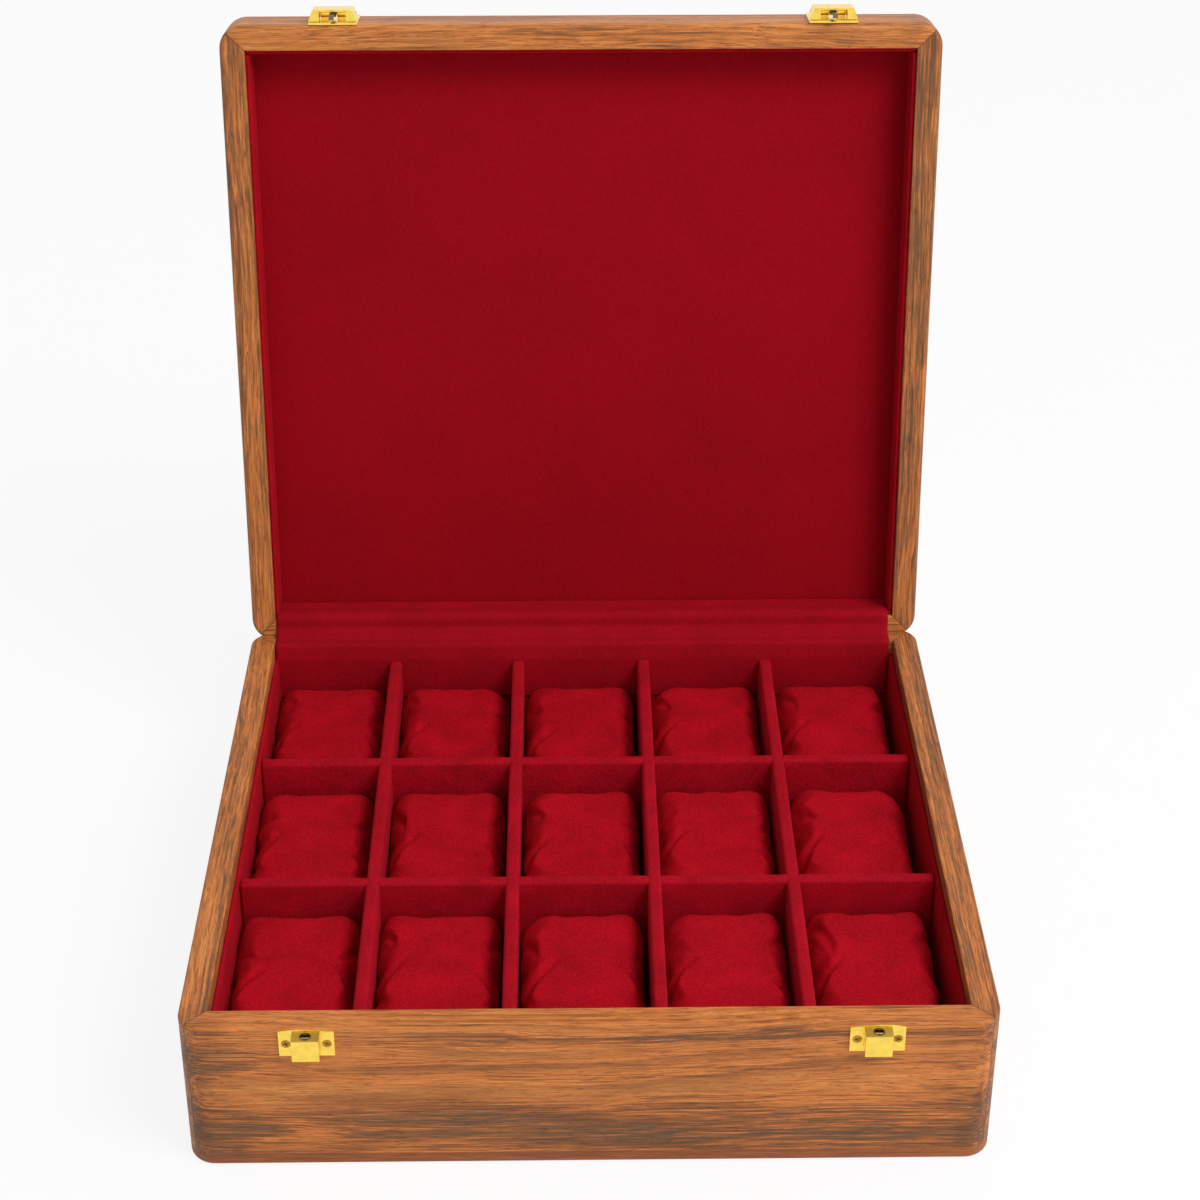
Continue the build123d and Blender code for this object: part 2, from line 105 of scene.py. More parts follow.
class Num:
    """A number that varies over a surface, on which Python's operators add Math nodes."""

    def __init__(self, graph: "Graph", socket: bpy.types.NodeSocket) -> None:
        """Wraps one output socket of a graph."""
        self.graph = graph
        self.socket = socket

    def _math(self, operation: str, *values: Any, clamp: bool = False) -> "Num":
        """One Math node of the given operation on the values, in their order."""
        settings = {"operation": operation, "use_clamp": clamp}
        node = self.graph.node("ShaderNodeMath", settings, dict(enumerate(values)))
        return Num(self.graph, node.outputs[0])

    def __add__(self, other: Any) -> "Num":
        """self + other."""
        return self._math("ADD", self, other)

    def __radd__(self, other: Any) -> "Num":
        """other + self."""
        return self._math("ADD", other, self)

    def __sub__(self, other: Any) -> "Num":
        """self - other."""
        return self._math("SUBTRACT", self, other)

    def __rsub__(self, other: Any) -> "Num":
        """other - self."""
        return self._math("SUBTRACT", other, self)

    def __mul__(self, other: Any) -> "Num":
        """self * other."""
        return self._math("MULTIPLY", self, other)

    def __rmul__(self, other: Any) -> "Num":
        """other * self."""
        return self._math("MULTIPLY", other, self)

    def __truediv__(self, other: Any) -> "Num":
        """self / other."""
        return self._math("DIVIDE", self, other)

    def __pow__(self, other: Any) -> "Num":
        """self to the power of other."""
        return self._math("POWER", self, other)

    def __abs__(self) -> "Num":
        """The size of the number without its sign."""
        return self._math("ABSOLUTE", self)

    def fraction(self) -> "Num":
        """What is left above the whole number."""
        return self._math("FRACT", self)

    def clamped(self) -> "Num":
        """The number held between 0 and 1."""
        return self._math("ADD", self, 0.0, clamp=True)

    def step(self, low: float, high: float) -> "Num":
        """Goes smoothly from 0 at low to 1 at high.

        Args:
            low: value that gives 0.
            high: value that gives 1; it may be the smaller of the two.

        Returns:
            The smooth step as a number.
        """
        flip = low > high
        values = {0: self, 1: min(low, high), 2: max(low, high), 3: 0.0, 4: 1.0}
        settings = {"interpolation_type": "SMOOTHSTEP"}
        node = self.graph.node("ShaderNodeMapRange", settings, values)
        made = Num(self.graph, node.outputs[0])
        return 1 - made if flip else made


class Graph:
    """The node tree of a material or of the world, with one method that adds every kind of node."""

    def __init__(self, name: str, world: bpy.types.World | None = None) -> None:
        """Starts an empty material of that name, or empties the given world."""
        self.owner = world or bpy.data.materials.new(name)
        self.owner.use_nodes = True
        self.tree = self.owner.node_tree
        self.tree.nodes.clear()

    def node(
        self,
        kind: str,
        settings: dict[str, Any] | None = None,
        inputs: dict[Any, Any] | None = None,
    ) -> bpy.types.Node:
        """Adds a node, sets its options first, and then fills its sockets.

        Args:
            kind: the node's type name.
            settings: option names and values; "stops" holds a ramp's places and colours.
            inputs: socket names or numbers, with a number, colour, Num or socket for each.

        Returns:
            The new node.
        """
        node = self.tree.nodes.new(kind)
        for key, value in (settings or {}).items():
            if key == "stops":
                ramp = node.color_ramp
                while len(ramp.elements) < len(value):
                    ramp.elements.new(0.5)
                for element, (place, colour) in zip(ramp.elements, value):
                    element.position = place
                    element.color = colour
            else:
                setattr(node, key, value)
        for key, value in (inputs or {}).items():
            value = value.socket if isinstance(value, Num) else value
            if isinstance(value, bpy.types.NodeSocket):
                self.tree.links.new(value, node.inputs[key])
            else:
                node.inputs[key].default_value = value
        return node

    def place(self, on_lid: bool = False) -> list[Num]:
        """Closed coordinates in millimetres, as three numbers.

        Args:
            on_lid: turns the open lid's places back to where they are when it is shut.

        Returns:
            x, y and z.
        """
        seat = self.node("ShaderNodeTexCoord").outputs["Object"]
        turn = Lid.ANGLE if on_lid else 0.0
        c, s = math.cos(turn), math.sin(turn)
        y, z = Lid.HINGE_Y, Lid.HINGE_Z
        shift = (0.0, y - (c * y - s * z), z - (s * y + c * z)) if on_lid else (0.0, 0.0, 0.0)
        turned = self.node(
            "ShaderNodeMapping",
            {"vector_type": "POINT"},
            {"Vector": seat, "Location": shift, "Rotation": (turn, 0, 0), "Scale": (1 / MM,) * 3},
        )
        split = self.node("ShaderNodeSeparateXYZ", inputs={0: turned.outputs[0]})
        return [Num(self, split.outputs[i]) for i in range(3)]

    def noise(
        self, x: Any, y: Any, z: Any, detail: float = 2.0, rough: float = 0.5, bend: float = 0.0
    ) -> Num:
        """Smooth noise about 0.5 at a place whose unit is one blot.

        Args:
            x: first coordinate.
            y: second coordinate.
            z: third coordinate.
            detail: number of finer layers.
            rough: how strong the finer layers are.
            bend: how far the noise distorts itself.

        Returns:
            The noise, from 0 to 1.
        """
        point = self.node("ShaderNodeCombineXYZ", inputs={0: x, 1: y, 2: z}).outputs[0]
        values = {"Vector": point, "Scale": 1.0, "Detail": detail}
        values |= {"Roughness": rough, "Distortion": bend}
        return Num(self, self.node("ShaderNodeTexNoise", inputs=values).outputs[0])

    def mix(self, share: Any, first: Any, second: Any, how: str = "MIX") -> bpy.types.NodeSocket:
        """Mixes two colours.

        Args:
            share: how much of the second colour, from 0 to 1.
            first: colour or socket.
            second: colour or socket.
            how: the blend's name.

        Returns:
            The mixed colour's socket.
        """
        settings = {"data_type": "RGBA", "blend_type": how, "clamp_factor": True}
        node = self.node("ShaderNodeMix", settings, {0: share, 6: first, 7: second})
        return node.outputs[2]

    def ramp(self, value: Any, stops: list[tuple[float, Colour]]) -> bpy.types.NodeSocket:
        """A colour looked up along a row of stops.

        Args:
            value: the place along the row.
            stops: places and colours.

        Returns:
            The colour's socket.
        """
        return self.node("ShaderNodeValToRGB", {"stops": stops}, {0: value}).outputs[0]

    def grey(self, value: Num) -> bpy.types.NodeSocket:
        """A number as an even colour."""
        point = self.node("ShaderNodeCombineXYZ", inputs={0: value, 1: value, 2: value})
        return point.outputs[0]

    def bump(self, height: Num, depth_mm: float, under: Any = None) -> bpy.types.NodeSocket:
        """Relief of the surface.

        Args:
            height: 0 to 1 over the surface.
            depth_mm: the depth that 1 stands for.
            under: normal of a relief beneath this one.

        Returns:
            The normal's socket.
        """
        values = {"Strength": 1.0, "Distance": depth_mm * MM, "Height": height}
        if under is not None:
            values["Normal"] = under
        return self.node("ShaderNodeBump", inputs=values).outputs[0]

    def finish(self, **sockets: Any) -> bpy.types.Material:
        """Adds the surface shader and the output.

        Args:
            sockets: the shader's sockets, with _ for the spaces in their names.

        Returns:
            The finished material.
        """
        values = {key.replace("_", " "): value for key, value in sockets.items()}
        shader = self.node("ShaderNodeBsdfPrincipled", inputs=values)
        self.node("ShaderNodeOutputMaterial", inputs={"Surface": shader.outputs[0]})
        return self.owner


# Finishes


class Axis(Enum):
    """The way a board's grain runs."""

    ACROSS = "left to right"
    DEEP = "front to back"


@dataclass(frozen=True)
class Band:
    """A darker band of wood along the grain, with soft ends."""

    height: float
    reach: float
    depth: float
    middle: float = 0.0
    half_length: float = 400.0


@dataclass(frozen=True)
class Hardwood:
    """Straw, orange and grey-brown streaked hardwood under a thin satin finish."""

    name: str
    grain: Axis
    on_lid: bool = False
    seed: float = 0.0
    heart: tuple[float, float] = (-60.0, 24.0)
    ring: float = 3.4
    pale: float = 0.0
    straw: str = "e29a55"
    orange: str = "d67f3d"
    brown: str = "a56639"
    grey: str = "715439"
    pore: str = "3a2114"
    bands: tuple[Band, ...] = ()
    redness: float = 0.0
    mitred: bool = True
    half: tuple[float, float] = (178.0, 164.0)
    sway_reach: float = 13.0
    wave_reach: float = 3.2
    seam: float = 0.42
    pore_depth: float = 0.11

    def material(self) -> bpy.types.Material:
        """Builds the wood.

        The grain runs along one axis: every noise is stretched along it. Growth rings are
        shells round the tree's heart, bent by slow noise, with a dark line at the end of each.
        Fibres are long and thin, pores are short dark dashes, and grey bands cross the orange.

        Returns:
            The material.
        """
        g = Graph(self.name)
        x, y, z = g.place(self.on_lid)
        a, b = (x, y) if self.grain is Axis.ACROSS else (y, x)
        c = z
        seed = self.seed
        sway = g.noise(a / 240 + seed, b / 60, c / 44 + seed, 1.5) - 0.5
        wave = g.noise(a / 62 + seed, b / 26, c / 20 + seed, 2.0) - 0.5
        drift = sway * self.sway_reach + wave * self.wave_reach
        out_b = b - self.heart[0]
        out_c = c - self.heart[1]
        shells = (out_b * out_b + out_c * out_c) ** 0.5 + drift
        ring = (shells / self.ring).fraction()
        late = ring.step(0.1, 0.9) * ring.step(1.0, 0.92)
        wide = g.noise(a / 330 + seed, (b + drift) / 21 + seed, (c + drift) / 13, 2.0, 0.5)
        streak = g.noise(a / 85 + seed, (b + drift) / 1.4, (c + drift) / 0.95 + seed, 4.0, 0.66)
        fleck = g.noise(a / 19 + seed, (b + drift) / 1.1, (c + drift) / 0.8 + seed, 3.0, 0.6)
        fibre = g.noise(a / 18, (b + drift) / 0.55 + seed, (c + drift) / 0.45, 4.0, 0.7)
        dash = g.noise(a / 5.0 + seed, (b + drift) / 0.42, (c + drift) / 0.38 + seed, 1.0)
        pores = dash.step(0.6, 0.72)
        tone = (wide - 0.5) * 0.62 + (streak - 0.5) * 0.9 + (fleck - 0.5) * 0.6 + 0.5 + self.pale
        for band in self.bands:
            up = abs(c + drift * 0.8 + (streak - 0.5) * 10 - band.height) / band.reach
            along = abs(a + wave * 90 + (streak - 0.5) * 60 - band.middle) / band.half_length
            tone = tone - up.step(1.3, 0.55) * along.step(1.5, 0.3) * band.depth
        stops = [
            (0.22, tint(self.grey)),
            (0.36, tint(self.brown)),
            (0.49, tint(self.orange)),
            (0.76, tint(self.straw)),
        ]
        colour = g.ramp(tone, stops)
        dark = g.mix(0.55, tint(self.brown), tint(self.pore))
        strength = g.noise(a / 90, b / 22 + seed, c / 15 + 3.0, 1.0).step(0.35, 0.7)
        colour = g.mix(late * (strength * 0.5 + 0.08), colour, dark)
        light = g.grey((fibre - 0.5) * 1.5 + (fleck - 0.5) * 0.6 + 1.03)
        colour = g.mix(1.0, colour, light, "MULTIPLY")
        colour = g.mix(pores * 0.5, colour, tint(self.pore))
        if self.redness:
            colour = g.mix(self.redness, colour, tint("8c4a2c"))
        if self.mitred:
            side_gap = self.half[0] - abs(x)
            front_gap = self.half[1] - abs(y)
            seam = abs(side_gap - front_gap)
            blot = g.noise(x / 14, y / 14, z / 11 + seed, 3.0, 0.6)
            reach = side_gap if self.grain is Axis.ACROSS else front_gap
            stain = reach.step(30, 4) * blot.step(0.42, 0.68)
            colour = g.mix(stain * 0.4, colour, tint("4f3a28"))
            colour = g.mix(seam.step(self.seam, 0.1) * 0.75, colour, tint("2e1c12"))
        relief = g.bump(fibre * 0.6 + (1 - pores) * 0.4 - late * 0.12, self.pore_depth)
        return g.finish(
            Base_Color=colour,
            Roughness=(fibre - 0.5) * 0.3 + pores * 0.2 + 0.47,
            Normal=relief,
            Specular_IOR_Level=0.3,
        )


@dataclass(frozen=True)
class Velvet:
    """Short crimson pile that is brushed in patches and lighter where it is seen edge on."""

    name: str
    bright: str = "ab1025"
    deep: str = "8a0a1c"
    on_lid: bool = False
    patch: float = 26.0
    sheen: float = 0.14
    seed: float = 0.0

    def material(self) -> bpy.types.Material:
        """Builds the pile: patches of brushed nap, mottled grain, pale specks and a soft relief.

        Returns:
            The material.
        """
        g = Graph(self.name)
        x, y, z = g.place(self.on_lid)
        patch = self.patch
        seed = self.seed
        nap = g.noise(x / patch + seed, y / patch, z / patch + seed, 3.0, 0.55, 0.4)
        mottle = g.noise(x / 1.2 + seed, y / 1.4, z / 1.4, 2.0, 0.6)
        pile = g.noise(x / 0.28, y / 0.28, z / 0.28 + seed, 2.0, 0.7)
        share = (nap - 0.5) * 1.3 + (mottle - 0.5) * 2.0 + (pile - 0.5) * 1.8 + 0.5
        colour = g.mix(share.clamped(), tint(self.deep), tint(self.bright))
        speck = g.noise(x / 0.9 + 7.0, y / 0.9, z / 0.9 + seed, 1.0).step(0.79, 0.84)
        colour = g.mix(speck * 0.25, colour, tint("d0596a"))
        soft = g.bump(mottle * 0.35 + nap * 0.65, 0.4)
        return g.finish(
            Base_Color=colour,
            Roughness=(pile - 0.5) * 0.15 + 0.9,
            Normal=g.bump(pile, 0.09, soft),
            Specular_IOR_Level=0.12,
            Sheen_Weight=self.sheen,
            Sheen_Roughness=0.38,
            Sheen_Tint=tint("ff3346"),
        )


@dataclass(frozen=True)
class KeeperBoxes:
    """Where the hollow boxes of the two keepers are, for the shade painted on them."""

    middles: tuple[float, float] = (-121.8, 123.8)
    half: float = 6.0
    wall: float = 0.9
    top: float = 76.8
    plate_y: float = -165.0
    front_y: float = -171.4
    hole_y: float = -167.9
    hole_radius: float = 2.1


@dataclass(frozen=True)
class Metal:
    """Polished or brushed metal with fine draw lines and a few tarnished spots."""

    name: str
    colour: str
    stain: str
    rough: float = 0.2
    on_lid: bool = False
    seed: float = 0.0
    boxes: KeeperBoxes | None = None

    def _paint_box_shade(self, g: Graph, place: list[Num], colour: Any, box: KeeperBoxes) -> Any:
        """Paints shade on a keeper's box: a darker top, a dark ring at the edge of its hole and a dark
        inside.

        Args:
            g: the metal's graph.
            place: closed coordinates.
            colour: the metal's colour so far.
            box: the boxes' sizes.

        Returns:
            The socket of the colour with the painted shade.
        """
        x, y, z = place
        inner, front, roof = box.half - box.wall, box.front_y + box.wall, box.top - box.wall
        for middle in box.middles:
            side, deep = abs(x - middle), abs(y - box.hole_y)
            top = side.step(box.half + 0.3, box.half + 0.1) * z.step(box.top - 0.3, box.top - 0.1)
            top = top * y.step(box.plate_y, box.plate_y - 0.2)
            edge = (side * side + deep * deep) ** 0.5
            edge = edge.step(box.hole_radius + 0.8, box.hole_radius + 0.2)
            inside = side.step(inner + 0.2, inner) * z.step(roof + 0.1, roof - 0.1)
            inside = inside * y.step(front - 0.1, front + 0.1)
            # painted shade: the box's top darker, a dark ring round its hole and its inside darkened
            colour = g.mix(top * 0.6, colour, tint("8a6216"))
            colour = g.mix(top * edge * 0.8, colour, tint("3c280c"))
            colour = g.mix(inside * 0.85, colour, tint("2a1c0a"))
        return colour

    def material(self) -> bpy.types.Material:
        """Builds the metal: draw lines across the part, cloudy polish, small dark specks and painted
        shade on the keepers' boxes.

        Returns:
            The material.
        """
        g = Graph(self.name)
        x, y, z = g.place(self.on_lid)
        seed = self.seed
        lines = g.noise(x / 5, y / 0.12 + seed, z / 0.12, 2.0, 0.6)
        cloud = g.noise(x / 3.5 + seed, y / 3.5, z / 3.5, 3.0, 0.6)
        speck = g.noise(x / 0.5, y / 0.5 + seed, z / 0.5, 1.0).step(0.72, 0.82)
        colour = g.mix(cloud.step(0.35, 0.8) * 0.3, tint(self.colour), tint(self.stain))
        colour = g.mix(speck * 0.35, colour, tint(self.stain))
        # painted shade on the keepers' boxes
        if self.boxes:
            colour = self._paint_box_shade(g, [x, y, z], colour, self.boxes)
        return g.finish(
            Base_Color=colour,
            Metallic=1.0,
            Roughness=(cloud - 0.5) * 0.16 + (lines - 0.5) * 0.12 + speck * 0.15 + self.rough,
            Normal=g.bump(lines * 0.6 + cloud * 0.4, 0.012),
        )


# Surfaces


def cube_grid(xs: Array, ys: Array, zs: Array) -> tuple[Array, Array]:
    """The skin of a box as a closed grid.

    Each of the six sides is the product of two of the rows of numbers at one end of the third,
    and corners that fall together are made one.

    Args:
        xs: rising places along x.
        ys: rising places along y.
        zs: rising places along z.

    Returns:
        Points (n, 3) and quads (m, 4), with faces outwards.
    """
    rows = (xs, ys, zs)
    points, quads, count = [], [], 0
    for normal in range(3):
        first, second = (normal + 1) % 3, (normal + 2) % 3
        for end in (0, -1):
            u, v = np.meshgrid(rows[first], rows[second], indexing="ij")
            side = np.zeros(u.shape + (3,))
            side[..., first], side[..., second] = u, v
            side[..., normal] = rows[normal][end]
            index = np.arange(u.size).reshape(u.shape) + count
            loop = [index[:-1, :-1], index[1:, :-1], index[1:, 1:], index[:-1, 1:]]
            loop = loop if end == -1 else loop[::-1]
            quads.append(np.stack(loop, -1).reshape(-1, 4))
            points.append(side.reshape(-1, 3))
            count += u.size
    joined = np.concatenate(points)
    _, keep, back = np.unique(
        np.round(joined, 6), axis=0, return_index=True, return_inverse=True
    )
    return joined[keep], back.reshape(-1)[np.concatenate(quads)]


def spaced(low: float, high: float, edge: float, step: float) -> Array:
    """Places from low to high, close together within edge of both ends.

    Args:
        low: first place.
        high: last place.
        edge: length at each end that gets four close steps.
        step: the longest step in between.

    Returns:
        The rising places.
    """
    middle = max(2, int(math.ceil((high - low - 2 * edge) / step)) + 1)
    parts = [
        np.linspace(low, low + edge, 5)[:-1],
        np.linspace(low + edge, high - edge, middle),
        np.linspace(high - edge, high, 5)[1:],
    ]
    return np.concatenate(parts)


def ripple(points: Array, length: float, seed: float) -> Array:
    """Slow unevenness of a surface.

    It is the mean of four sines of straight combinations of x, y and z, each with its own
    direction and phase from the seed.

    Args:
        points: places (n, 3).
        length: rough distance from one swell to the next.
        seed: picks the directions.

    Returns:
        A number from -1 to 1 for each point.
    """
    rng = np.random.default_rng(int(seed * 1000) + 11)
    ways = rng.normal(size=(4, 3))
    ways /= np.linalg.norm(ways, axis=1, keepdims=True)
    phase = rng.uniform(0, FULL_TURN, 4)
    stretch = rng.uniform(0.7, 1.5, 4)
    return np.sin(points @ ways.T * (FULL_TURN / length) * stretch + phase).mean(1)


def wrapped_board(
    low: tuple[float, float, float],
    high: tuple[float, float, float],
    radius: float,
    step: float,
    puff: float,
    seed: float,
) -> tuple[Array, Array]:
    """A board covered in cloth: a box whose edges are rounded and whose faces swell a little.

    A point of the box's skin is moved to the core box's nearest point plus radius in the
    direction away from it, and then along that direction by puff times the slow unevenness.

    Args:
        low: lowest corner.
        high: highest corner.
        radius: rounding of the edges.
        step: grid step between the edges.
        puff: height of the unevenness.
        seed: picks the unevenness.

    Returns:
        Points and quads.
    """
    rows = [spaced(low[i], high[i], radius, step) for i in range(3)]
    points, quads = cube_grid(*rows)
    core = np.clip(points, np.array(low) + radius, np.array(high) - radius)
    away = points - core
    away /= np.maximum(np.linalg.norm(away, axis=1, keepdims=True), 1e-9)
    wave = ripple(points, 34.0, seed) * 0.6 + ripple(points, 9.0, seed + 1) * 0.4
    inward = -np.abs(wave)[:, None] * puff
    return core + away * (radius + inward), quads


def make_mesh(name: str, points_mm: Array, quads: Array) -> bpy.types.Object:
    """A smooth-shaded mesh object at the origin.

    Args:
        name: the piece's name.
        points_mm: places in millimetres.
        quads: corners of each face.

    Returns:
        The object, linked to the scene.
    """
    mesh = bpy.data.meshes.new(name)
    mesh.from_pydata((points_mm * MM).tolist(), [], quads.tolist())
    mesh.polygons.foreach_set("use_smooth", np.ones(len(quads), bool))
    mesh.update()
    made = bpy.data.objects.new(name, mesh)
    bpy.context.scene.collection.objects.link(made)
    return made


def dress(piece: bpy.types.Object, material: bpy.types.Material) -> None:
    """Gives a piece its only material."""
    piece.data.materials.clear()
    piece.data.materials.append(material)


def smooth(t: Array) -> Array:
    """The smooth step 3t² - 2t³ of t held between 0 and 1."""
    t = np.clip(t, 0, 1)
    return t * t * (3 - 2 * t)


# Woodwork


@dataclass
class Lid:
    """The open lid's place, shared by all that rides on it."""

    ANGLE = math.radians(98.0)
    HINGE_Y = 160.5
    HINGE_Z = 78.0

    @classmethod
    def opened(cls, points: Array) -> Array:
        """Turns closed coordinates open about the hinge line.

        The offset from the hinge turns by minus the angle: y goes to y cos + z sin, and z to
        z cos - y sin.

        Args:
            points: places (n, 3) on the shut box.

        Returns:
            The same places with the lid open.
        """
        c, s = math.cos(cls.ANGLE), math.sin(cls.ANGLE)
        y, z = points[:, 1] - cls.HINGE_Y, points[:, 2] - cls.HINGE_Z
        turned = points.copy()
        turned[:, 1] = cls.HINGE_Y + y * c + z * s
        turned[:, 2] = cls.HINGE_Z - y * s + z * c
        return turned


@dataclass(frozen=True)
class Rail:
    """The wood of one rail: its seed, how pale it is, its dark bands and its own tones."""

    seed: float
    pale: float = 0.0
    bands: tuple[Band, ...] = ()
    tones: dict[str, str] = field(default_factory=dict)


@dataclass
class Carcase:
    """The rails and boards of base and lid, each with its own piece of wood."""

    frame: dict[str, Any]
    rails: dict[str, Rail] = field(
        default_factory=lambda: {
            "base_front_rail": Rail(
                2.3,
                0.1,
                (
                    Band(20.0, 18.0, 0.22),
                    Band(23.0, 5.0, 0.07, -25.0, 85.0),
                    Band(14.0, 5.0, 0.07, 75.0, 110.0),
                    Band(36.0, 45.0, 0.2, -182.0, 38.0),
                    Band(36.0, 45.0, 0.08, 182.0, 26.0),
                    Band(71.5, 3.5, 0.16, -60.0, 70.0),
                    Band(72.5, 3.0, 0.22, 60.0, 60.0),
                ),
                {"straw": "e2934c", "orange": "d97f3c", "brown": "9d5f34"},
            ),
            "base_back_rail": Rail(5.1),
            "base_left_rail": Rail(8.4, -0.03, (Band(60.0, 14.0, 0.1),)),
            "base_right_rail": Rail(3.7, -0.13),
            "lid_front_rail": Rail(6.2, 0.03),
            "lid_back_rail": Rail(9.9),
            "lid_left_rail": Rail(1.6, -0.09),
            "lid_right_rail": Rail(4.4, -0.16),
        }
    )

    def dress_all(self) -> None:
        """Puts wood on every rail and board."""
        for name, rail in self.rails.items():
            sideways = "left" in name or "right" in name
            wood = Hardwood(
                name=f"wood_{name}",
                grain=Axis.DEEP if sideways else Axis.ACROSS,
                on_lid=name.startswith("lid"),
                seed=rail.seed,
                heart=(-230.0 - 9 * rail.seed, 20.0 + 5 * rail.seed),
                pale=rail.pale,
                bands=rail.bands,
                **rail.tones,
            )
            dress(self.frame["nodes"][name], wood.material())
        boards = {"base_bottom_board": (False, 7.7, 0.6), "lid_top_board": (True, 5.6, 0.18)}
        for name, (on_lid, seed, redness) in boards.items():
            wood = Hardwood(
                name=f"wood_{name}",
                grain=Axis.ACROSS,
                on_lid=on_lid,
                seed=seed,
                heart=(20.0, -46.0),
                ring=4.6,
                pale=-0.05,
                redness=redness,
                mitred=False,
            )
            dress(self.frame["nodes"][name], wood.material())
        LOG.info("wood on %d rails and %d boards", len(self.rails), len(boards))


# Velvet


@dataclass
class Linings:
    """Velvet-covered boards on the walls, the floor, the lid panel, and the dividers."""

    inner: tuple[float, float] = (165.5, 151.5)
    thick: float = 2.0
    seam: float = 0.15
    floor: tuple[float, float] = (7.0, 8.5)
    base_top: float = 70.0
    lid_edge: float = 80.2
    panel: tuple[float, float] = (98.5, 100.0)
    divider: float = 6.4
    divider_top: float = 68.6
    long_x: tuple[float, ...] = (-100.9, -35.4, 31.4, 96.6)
    cross_y: dict[str, float] = field(default_factory=lambda: {"front": -45.9, "rear": 54.5})

    def _piece(
        self, node: str, low: Any, high: Any, radius: float, puff: float, seed: float
    ) -> bpy.types.Object:
        """Makes one covered board in place of a frame node.

        Args:
            node: the frame node that it stands for.
            low: lowest corner, on the shut box.
            high: highest corner, on the shut box.
            radius: rounding of its edges.
            puff: how uneven the cloth is.
            seed: picks the unevenness.

        Returns:
            The piece.
        """
        on_lid = node.startswith("lid")
        points, quads = wrapped_board(low, high, radius, 4.0, puff, seed)
        piece = make_mesh(f"velvet_{node}", Lid.opened(points) if on_lid else points, quads)
        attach(piece, "lid" if on_lid else "base")
        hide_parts(node)
        return piece

    def walls(self) -> None:
        """Makes the four wall boards of the base and of the lid."""
        x, y = self.inner
        t, gap = self.thick, self.seam
        spans = {
            "front": (-x, x, -y, t - y),
            "back": (-x, x, y - t, y),
            "left": (-x, t - x, t + gap - y, y - t - gap),
            "right": (x - t, x, t + gap - y, y - t - gap),
        }
        heights = {"base": (self.floor[1] + gap, self.base_top)}
        heights["lid"] = (self.lid_edge, self.panel[0] - gap)
        cloth = {
            "base": Velvet("velvet_base_walls", "c40b20", "960819", seed=1.0),
            "lid": Velvet("velvet_lid_walls", "c4091f", "960617", on_lid=True, seed=2.0),
        }
        made = {part: finish.material() for part, finish in cloth.items()}
        for part, (low, high) in heights.items():
            for number, (side, (x0, x1, y0, y1)) in enumerate(spans.items()):
                node = f"{part}_{side}_lining"
                piece = self._piece(node, (x0, y0, low), (x1, y1, high), 0.85, 0.14, number + 3.1)
                dress(piece, made[part])
        LOG.info("eight wall linings")

    def flats(self) -> None:
        """Makes the floor board and the lid's panel board."""
        x, y = self.inner
        floor = self._piece(
            "base_floor_lining", (-x, -y, self.floor[0]), (x, y, self.floor[1]), 0.6, 0.1, 8.0
        )
        dress(floor, Velvet("velvet_floor", seed=3.0).material())
        panel = self._piece(
            "lid_panel_lining", (-x, -y, self.panel[0]), (x, y, self.panel[1]), 0.6, 0.12, 9.0
        )
        # painted shade: the lid panel's velvet is a darker copy of the crimson, standing in for the
        # less light on the panel
        finish = Velvet("velvet_panel_shaded", "aa0518", "960414", True, 70.0, 0.03, 4.0)
        dress(panel, finish.material())
        LOG.info("floor and lid panel linings")

    def dividers(self) -> None:
        """Makes the four long and two cross dividers, which cross in half-laps."""
        x, y = self.inner
        half, gap = self.divider / 2, self.thick + self.seam
        low = self.floor[1] + self.seam
        finish = Velvet("velvet_dividers", "c60d26", "980818", patch=18.0, sheen=0.25, seed=5.0)
        cloth = finish.material()
        spans = {
            f"long_divider_{i}": (at - half, at + half, gap - y, y - gap)
            for i, at in enumerate(self.long_x, 1)
        }
        for name, at in self.cross_y.items():
            spans[f"cross_divider_{name}"] = (gap - x, x - gap, at - half, at + half)
        for number, (node, (x0, x1, y0, y1)) in enumerate(spans.items()):
            top = self.divider_top - (0.25 if node.startswith("cross") else 0.0)
            piece = self._piece(node, (x0, y0, low), (x1, y1, top), 1.7, 0.2, number + 20.3)
            dress(piece, cloth)
        LOG.info("six dividers")


